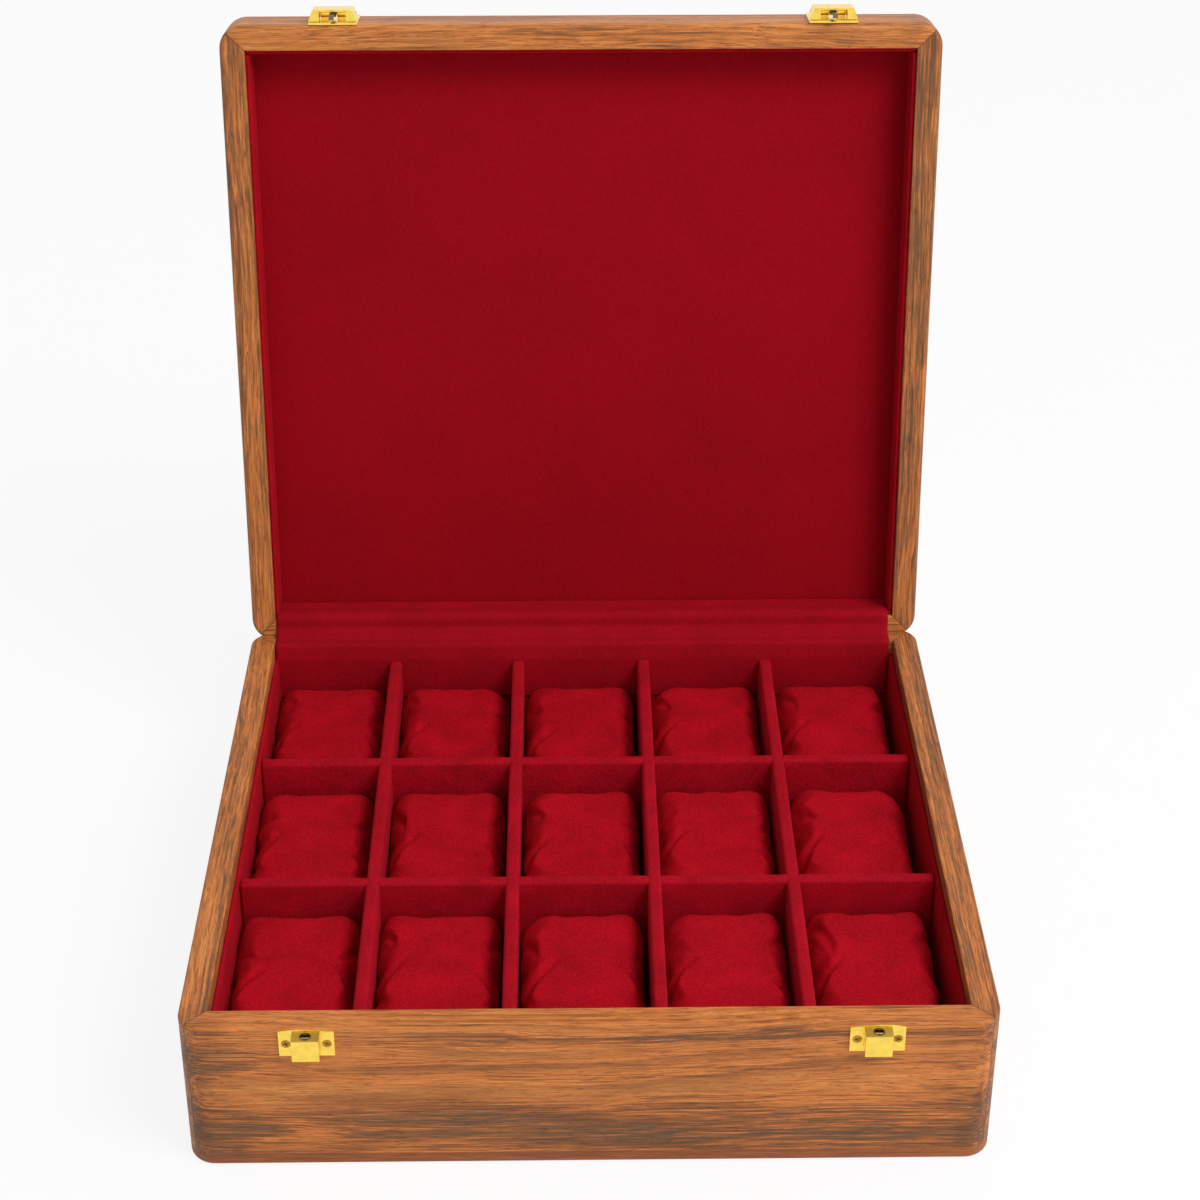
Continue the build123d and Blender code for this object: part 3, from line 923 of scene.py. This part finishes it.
@dataclass
class HingeStrip:
    """The velvet ribbon that hides the hinges, made as it lies with the lid open; the real one folds
    as the lid shuts.
    """

    left: float = -165.0
    right: float = 163.0
    wall_y: float = 151.2
    lining_y: float = 149.25
    base_rim: float = 77.53
    lid_rim: float = 78.47
    bridge_y: float = 156.3
    foot: float = 46.0
    thick: float = 0.45
    stand_off: float = 0.34
    ripple_height: float = 0.1
    rows: int = 100
    columns: int = 160

    def _path(self) -> Array:
        """The ribbon's cross line in the open box: up the base, over the barrels, into the lid.

        Its corners are softened by taking each point half way to the mean of its neighbours.

        Returns:
            Places (n, 3) with x = 0, close together and evenly spaced.
        """
        y, front, b = self.wall_y, self.lining_y, self.bridge_y
        base = [(front, self.foot), (front, 69.4), (y - 0.3, self.base_rim - 0.5)]
        base += [(y + 0.4, self.base_rim), (b, self.base_rim)]
        lid = [(b, self.lid_rim), (y + 0.4, self.lid_rim), (y - 0.3, self.lid_rim + 0.4)]
        lid += [(front, 80.9), (front, 86.0)]
        shut = np.array([(0.0, *p) for p in lid])
        corners = np.concatenate([np.array([(0.0, *p) for p in base]), Lid.opened(shut)])
        steps = np.linalg.norm(np.diff(corners, axis=0), axis=1)
        reach = np.concatenate([[0.0], np.cumsum(steps)])
        even = np.linspace(0, reach[-1], self.rows)
        path = np.stack([np.interp(even, reach, corners[:, i]) for i in range(3)], -1)
        for _ in range(4):
            path[1:-1] = path[1:-1] * 0.5 + (path[:-2] + path[2:]) * 0.25
        return path

    def build(self) -> bpy.types.Object:
        """Carries the cross line along x, with slight ripples.

        Returns:
            The ribbon.
        """
        path = self._path()
        xs = np.linspace(self.left, self.right, self.columns)
        points = np.repeat(path[None], len(xs), 0)
        points[..., 0] = xs[:, None]
        flat = points.reshape(-1, 3)
        tangent = np.gradient(path, axis=0)
        normal = np.stack([np.zeros(len(path)), -tangent[:, 2], tangent[:, 1]], -1)
        normal /= np.linalg.norm(normal, axis=1, keepdims=True)
        lift = ripple(flat * (1, 0.3, 0.3), 26.0, 4.4).reshape(points.shape[:2])
        points += normal[None] * (lift * self.ripple_height + self.stand_off)[..., None]
        index = np.arange(points[..., 0].size).reshape(points.shape[:2])
        quads = np.stack(
            [index[:-1, :-1], index[:-1, 1:], index[1:, 1:], index[1:, :-1]], -1
        ).reshape(-1, 4)
        strip = make_mesh("velvet_hinge_strip", points.reshape(-1, 3), quads)
        wall = strip.modifiers.new("thickness", "SOLIDIFY")
        wall.thickness = self.thick * MM
        wall.offset = 0.0
        finish = Velvet("velvet_strip", "b4091e", "980718", seed=6.0)
        dress(strip, finish.material())
        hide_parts("velvet_strip")
        lid_end = Lid.opened(np.array([(0.0, self.bridge_y, self.lid_rim)]))[0] * MM
        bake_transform(strip)
        return strip


# Pillows


@dataclass(frozen=True)
class Fold:
    """A crease in the cover, from a place near an edge towards the middle.

    Places are in half widths and half lengths of the pillow, as seen from above.
    """

    start: tuple[float, float]
    end: tuple[float, float]
    depth: float = 1.3
    width: float = 1.7
    bow: float = 0.1


@dataclass(frozen=True)
class Pinch:
    """A back corner that is pulled in, with a tuft of gathered cloth beyond it."""

    side: int
    drop: float = 4.0
    tuft: float = 2.2


@dataclass
class Pillow:
    """One watch pillow: foam in a velvet cover that is folded in at its two ends."""

    row: int
    column: int
    centre: tuple[float, float]
    folds: list[Fold]
    pinches: list[Pinch]
    foot: float = 8.85
    half: tuple[float, float, float] = (27.7, 43.6, 23.7)
    counts: tuple[int, int, int] = (22, 34, 18)
    squareness: float = 9.5
    limit: tuple[float, float, float] = (28.4, 44.8, 24.6)
    left_of_centre: float = 0.7
    cap: float = 1.6
    trial_scale: int = 10
    trial_frames: int = 14

    @property
    def node(self) -> str:
        """The frame node and body that this pillow stands for and rides on."""
        return f"pillow_{self.row}_{self.column}"

    def _start(self) -> tuple[Array, Array]:
        """The foam's shape, on a grid that is closer near its edges.

        A point of a cube's skin is divided by the k-th root of the sum of its coordinates'
        k-th powers, which rounds the edges, and is scaled to the half sizes. The sides draw in
        half way along, and the top is crowned by the squares of the distances from its middle
        and falls off more steeply, by the sixth power, towards its sides.

        Returns:
            Points about the pillow's middle, and quads.
        """
        quarter = math.pi / 2 * 0.9
        rows = [np.sin(np.linspace(-1, 1, n + 1) * quarter) for n in self.counts]
        rows = [r / r[-1] for r in rows]
        points, quads = cube_grid(*rows)
        k = self.squareness
        points /= (np.abs(points) ** k).sum(1, keepdims=True) ** (1 / k)
        x, y, z = points.T
        waist = 1 - 0.035 * (1 - y * y) * (1 - 0.6 * np.abs(z))
        belly = 1 - 0.03 * (1 - x * x)
        dome = np.where(z > 0, 1 - 0.03 * (x**2 + y**2) - 0.08 * x**6, 1.0)
        shape = np.stack([x * waist, y * belly, z * dome], -1)
        return shape * np.array(self.half), quads

    def _swell(self, points: Array, quads: Array) -> Array:
        """Blows the cover up as cloth, at ten times its size, with its foot and gathers held.

        Args:
            points: the foam's shape.
            quads: its faces.

        Returns:
            The points after the simulation, none further than the cap from where it began.
        """
        trial = make_mesh(f"{self.node}_trial", points * self.trial_scale, quads)
        x, y, z = (points / np.array(self.half)).T
        hold = np.clip((-0.82 - z) * 8, 0, 1)
        for side in (-1, 1):
            gather = np.hypot((x - side) * 2.2, (z + 0.25) * 1.6)
            hold = np.maximum(hold, np.clip(1.3 - np.hypot(gather, y * 1.4) * 2.2, 0, 1))
        group = trial.vertex_groups.new(name="held")
        for share in (0.34, 0.67, 1.0):
            chosen = np.nonzero(hold >= share - 0.17)[0]
            group.add([int(i) for i in chosen], share, "REPLACE")
        cover = trial.modifiers.new("cover", "CLOTH")
        rules = cover.settings
        rules.quality = 4
        rules.mass = 0.25
        rules.tension_stiffness = 12
        rules.compression_stiffness = 12
        rules.shear_stiffness = 6
        rules.bending_stiffness = 0.25
        rules.shrink_min = -0.03
        rules.use_pressure = True
        rules.uniform_pressure_force = 4
        rules.vertex_group_mass = "held"
        rules.effector_weights.gravity = 0
        cover.collision_settings.use_collision = False
        cover.collision_settings.use_self_collision = False
        scene = bpy.context.scene
        for frame in range(1, self.trial_frames + 1):
            scene.frame_set(frame)
        graph = bpy.context.evaluated_depsgraph_get()
        grown = trial.evaluated_get(graph).to_mesh()
        moved = np.zeros(len(points) * 3)
        grown.vertices.foreach_get("co", moved)
        moved = moved.reshape(-1, 3) / MM / self.trial_scale
        scene.frame_set(1)
        mesh = trial.data
        bpy.data.objects.remove(trial)
        bpy.data.meshes.remove(mesh)
        shift = moved - points
        far = np.linalg.norm(shift, axis=1, keepdims=True)
        return points + shift * np.minimum(1, self.cap / np.maximum(far, 1e-9))

    def _creased(self, points: Array, normals: Array) -> Array:
        """Presses the folds and pinches in.

        A fold is a groove whose depth falls off as the bell curve of the distance from its
        line, with a lower swelling beside it on the side of the pillow's front middle, and both
        fade towards the line's ends. A pinch lowers the corner by a bell curve of the distance
        from it, and a narrower bell beyond the corner stands out as the tuft.

        Args:
            points: the cover's points about the pillow's middle.
            normals: their outward directions.

        Returns:
            The moved points.
        """
        half = np.array(self.half)
        upper = smooth((points[:, 2] + 6) / 14)
        shift = np.zeros(len(points))
        for fold in self.folds:
            start = np.array(fold.start) * half[:2]
            run = np.array(fold.end) * half[:2] - start
            reach = float(np.hypot(*run))
            along = run / reach
            across = np.array([-along[1], along[0]])
            offset = points[:, :2] - start
            t = offset @ along / reach
            bow = fold.bow * reach * (1 - (2 * np.clip(t, 0, 1) - 1) ** 2)
            off = offset @ across - bow
            fade = smooth((t + 0.12) / 0.2) * smooth((1.12 - t) / 0.55) * upper
            spread = fold.width * (1.1 - 0.35 * np.clip(t, 0, 1))
            groove = np.exp(-((off / spread) ** 2))
            side = -math.copysign(1, fold.start[0]) * math.copysign(1, across[0] or 1.0)
            bulge = np.exp(-(((off * side - 2.3 * spread) / (2.4 * spread)) ** 2))
            shift += fade * fold.depth * (0.6 * bulge - groove)
        moved = points + normals * shift[:, None]
        for pinch in self.pinches:
            corner = np.array([pinch.side * half[0], half[1], half[2] * 0.8])
            near = np.exp(-(np.linalg.norm((points - corner) / (8.5, 10, 12), axis=1) ** 2))
            moved[:, 2] -= near * pinch.drop
            moved[:, 1] -= near * pinch.drop * 0.5
            ear = corner + np.array([-pinch.side * 3.0, -3.0, -6.0])
            close = np.exp(-(np.linalg.norm((points - ear) / (3.2, 5, 3.6), axis=1) ** 2))
            moved[:, 0] += close * pinch.side * pinch.tuft * 0.4
            moved[:, 2] += close * pinch.tuft * 1.6
        seed = self.row * 7.3 + self.column * 1.9
        wave = ripple(points, 21.0, seed) * 0.55 + ripple(points, 10.0, seed + 3) * 0.22
        return moved + normals * (wave * (0.35 + 0.65 * upper))[:, None]

    def build(self, cloth: bpy.types.Material) -> bpy.types.Object:
        """Makes the pillow: foam shape, cloth, one subdivision, then folds, waves and foot.

        Args:
            cloth: the velvet.

        Returns:
            The finished pillow.
        """
        points, quads = self._start()
        points = self._swell(points, quads)
        rough = make_mesh(f"{self.node}_rough", points, quads)
        rough.modifiers.new("finer", "SUBSURF").levels = 1
        graph = bpy.context.evaluated_depsgraph_get()
        fine = rough.evaluated_get(graph).to_mesh()
        count = len(fine.vertices)
        places, normals = np.zeros(count * 3), np.zeros(count * 3)
        fine.vertices.foreach_get("co", places)
        fine.vertices.foreach_get("normal", normals)
        corners = np.zeros(len(fine.polygons) * 4, int)
        fine.loops.foreach_get("vertex_index", corners)
        mesh = rough.data
        bpy.data.objects.remove(rough)
        bpy.data.meshes.remove(mesh)
        places = self._creased(places.reshape(-1, 3) / MM, normals.reshape(-1, 3))
        x, y = self.centre
        middle = np.array([x - self.left_of_centre, y, self.foot + self.half[2]])
        limit = np.array(self.limit)
        places = np.clip(places, -limit, limit) + middle
        places[:, 2] = np.maximum(places[:, 2], self.foot)
        piece = make_mesh(f"velvet_{self.node}", places, corners.reshape(-1, 4))
        dress(piece, cloth)
        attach(piece, self.node)
        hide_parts(self.node)
        return piece


@dataclass
class PillowSet:
    """The fifteen pillows, with the folds that each one shows."""

    centres_x: tuple[float, ...] = (-133.8, -68.15, -2.0, 64.0, 131.65)
    centres_y: tuple[float, ...] = (103.5, 5.3, -95.1)
    pinched_left: tuple[tuple[int, int], ...] = ((1, 4), (2, 3), (3, 3), (3, 4))
    pinched_right: tuple[tuple[int, int], ...] = ((1, 2), (2, 5))

    def _folds(self, row: int, column: int) -> list[Fold]:
        """Draws a pillow's folds with its own seeded chances.

        Args:
            row: 1 at the back.
            column: 1 at the left.

        Returns:
            One long fold and one short one from each side.
        """
        rng = np.random.default_rng(100 * row + column)
        folds = []
        for side in (-1, 1):
            reach = rng.uniform(0.3, 0.5)
            low = rng.uniform(-0.52, -0.32)
            folds.append(
                Fold(
                    (side * 1.0, low),
                    (side * reach, low + rng.uniform(0.42, 0.56)),
                    rng.uniform(3.4, 4.6),
                    rng.uniform(2.5, 3.2),
                    -side * rng.uniform(0.03, 0.09),
                )
            )
            folds.append(
                Fold(
                    (side * 1.0, rng.uniform(0.3, 0.8)),
                    (side * rng.uniform(0.55, 0.8), rng.uniform(0.0, 0.45)),
                    rng.uniform(1.2, 2.2),
                    rng.uniform(1.6, 2.4),
                )
            )
        return folds

    def build(self) -> None:
        """Makes all fifteen."""
        finish = Velvet("velvet_pillows", "cc0a22", "9c0515", patch=20.0, sheen=0.06, seed=7.0)
        cloth = finish.material()
        for row, y in enumerate(self.centres_y, 1):
            for column, x in enumerate(self.centres_x, 1):
                pinches = [Pinch(-1)] if (row, column) in self.pinched_left else []
                pinches += [Pinch(1)] if (row, column) in self.pinched_right else []
                Pillow(row, column, (x, y), self._folds(row, column), pinches).build(cloth)
        LOG.info("fifteen pillows")


# Metalwork


@dataclass
class Metalwork:
    """Catches, keepers, hinges, springs and screws."""

    frame: dict[str, Any]
    steel_nodes: tuple[str, ...] = ("keeper_pins", "catch_springs", "catch_hook")
    brass_nodes: tuple[str, ...] = ("keeper", "catch", "hinge")

    def dress_all(self) -> None:
        """Puts brass or steel on every metal node."""
        brass = {
            False: Metal("brass_base", "ffdb62", "c7972f", 0.2, boxes=KeeperBoxes()).material(),
            True: Metal("brass_lid", "ffdb62", "c7972f", 0.24, True, 2.0).material(),
        }
        steel = {
            False: Metal("steel_base", "8f8474", "4a4038", 0.3).material(),
            True: Metal("steel_lid", "7d7266", "463e36", 0.34, True, 3.0).material(),
        }
        screws = {
            False: Metal("screws_base", "b98d3c", "5c4220", 0.3, False, 4.0).material(),
            True: Metal("screws_lid", "b98d3c", "5c4220", 0.3, True, 5.0).material(),
        }
        count = 0
        for name, node in self.frame["nodes"].items():
            on_lid = node["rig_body"] != "base"
            if name.endswith("screws"):
                dress(node, screws[on_lid])
            elif name.startswith(self.steel_nodes):
                dress(node, steel[on_lid])
            elif name.startswith(self.brass_nodes):
                dress(node, brass[on_lid])
            else:
                continue
            count += 1
        LOG.info("metal on %d nodes", count)


# Studio


@dataclass
class Studio:
    """A white room: pale floor, soft sky, one large soft lamp and the camera."""

    camera_mm: tuple[float, float, float] = (-6.82, -1016.4, 792.1)
    down: float = 30.5
    yaw: float = -0.745
    lens: float = 76.77
    sky: float = 0.5
    lean: float = 0.72
    lamp_power: float = 22.0
    lamp_place: tuple[float, float, float] = (1.0, -0.9, 1.9)
    lamp_aim: tuple[float, float, float] = (0.0, 0.05, 0.12)
    lamp_size: float = 0.9
    floor_rings: tuple[float, ...] = (0.0, 300.0, 1500.0, 9000.0)
    floor_spokes: int = 96
    floor_level: float = -0.05
    floor_glow: float = 1.04
    glow_share: float = 0.84

    def camera(self) -> None:
        """Puts the camera where the photograph was taken."""
        data = bpy.data.cameras.new("camera")
        data.lens = self.lens
        data.sensor_width = 36.0
        data.clip_end = 50.0
        eye = bpy.data.objects.new("camera", data)
        eye.location = tuple(v * MM for v in self.camera_mm)
        eye.rotation_euler = (math.radians(90 - self.down), 0.0, math.radians(self.yaw))
        bpy.context.scene.collection.objects.link(eye)
        bpy.context.scene.camera = eye

    def lamp(self) -> None:
        """Hangs the soft lamp above and in front of the box, a little to the right."""
        data = bpy.data.lights.new("soft_lamp", "AREA")
        data.energy = self.lamp_power
        data.size = self.lamp_size
        lamp = bpy.data.objects.new("soft_lamp", data)
        place = np.array(self.lamp_place)
        aim = np.array(self.lamp_aim) - place
        tilt = math.atan2(float(np.hypot(aim[0], aim[1])), float(-aim[2]))
        lamp.location = tuple(float(v) for v in place)
        lamp.rotation_euler = (tilt, 0.0, math.atan2(-float(aim[0]), float(aim[1])))
        bpy.context.scene.collection.objects.link(lamp)

    def room(self) -> None:
        """Makes the sky: white to the eye and to shiny things, and brighter on the right as light."""
        world = bpy.data.worlds.new("room")
        bpy.context.scene.world = world
        g = Graph("room", world)
        rays = g.node("ShaderNodeLightPath").outputs
        seen = Num(g, rays["Is Camera Ray"]) + Num(g, rays["Is Transmission Ray"])
        plain = (seen + Num(g, rays["Is Glossy Ray"])).clamped()
        way = g.node("ShaderNodeTexCoord").outputs["Generated"]
        across = Num(g, g.node("ShaderNodeSeparateXYZ", inputs={0: way}).outputs[0])
        soft = (across * self.lean + 1) * self.sky
        level = plain + soft * (1 - plain)
        white = {"Color": (1.0, 1.0, 1.0, 1.0), "Strength": level}
        sky = g.node("ShaderNodeBackground", inputs=white)
        g.node("ShaderNodeOutputWorld", inputs={"Surface": sky.outputs[0]})

    def floor(self) -> None:
        """Lays a wide round floor: mostly white to the eye, so that only a faint shadow shows."""
        turn = np.linspace(0, FULL_TURN, self.floor_spokes + 1)[:-1]
        rings = np.array(self.floor_rings)[:, None]
        level = np.full((len(rings), len(turn)), self.floor_level)
        points = np.stack([rings * np.cos(turn), rings * np.sin(turn), level], -1)
        index = np.arange(level.size).reshape(level.shape)
        after = np.roll(index, -1, 1)
        quads = np.stack([index[:-1], index[1:], after[1:], after[:-1]], -1).reshape(-1, 4)
        floor = make_mesh("studio_floor", points.reshape(-1, 3), quads)
        g = Graph("studio_white")
        x, y, _ = g.place()
        speckle = g.noise(x / 40, y / 40, 0.0, 2.0)
        paint = g.mix(speckle, (0.86, 0.86, 0.86, 1), (0.9, 0.9, 0.9, 1))
        matt = g.node("ShaderNodeBsdfDiffuse", inputs={"Color": paint})
        shine = {"Color": (1, 1, 1, 1), "Strength": self.floor_glow}
        glow = g.node("ShaderNodeEmission", inputs=shine)
        rays = g.node("ShaderNodeLightPath").outputs
        seen = Num(g, rays["Is Camera Ray"]) + Num(g, rays["Is Glossy Ray"])
        share = (seen * self.glow_share).clamped()
        both = g.node("ShaderNodeMixShader", inputs={0: share, 1: matt.outputs[0], 2: glow.outputs[0]})
        g.node("ShaderNodeOutputMaterial", inputs={"Surface": both.outputs[0]})
        floor.data.materials.append(g.owner)

    def build(self) -> None:
        """Sets the studio up."""
        bpy.context.scene.view_settings.view_transform = "Standard"
        self.camera()
        self.lamp()
        self.room()
        self.floor()
        LOG.info("studio")


def corners(box: Any) -> list[list[float]]:
    """A pair of corners as plain lists."""
    return [[float(v) for v in corner] for corner in box]


def main() -> None:
    """Loads the frame, dresses it piece by piece and sets the studio."""
    logging.basicConfig(level=logging.INFO, format="%(name)s: %(message)s")
    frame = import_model()
    Carcase(frame).dress_all()
    linings = Linings()
    linings.walls()
    linings.flats()
    linings.dividers()
    HingeStrip().build()
    PillowSet().build()
    Metalwork(frame).dress_all()
    Studio().build()


if __name__ == "__main__":
    main()
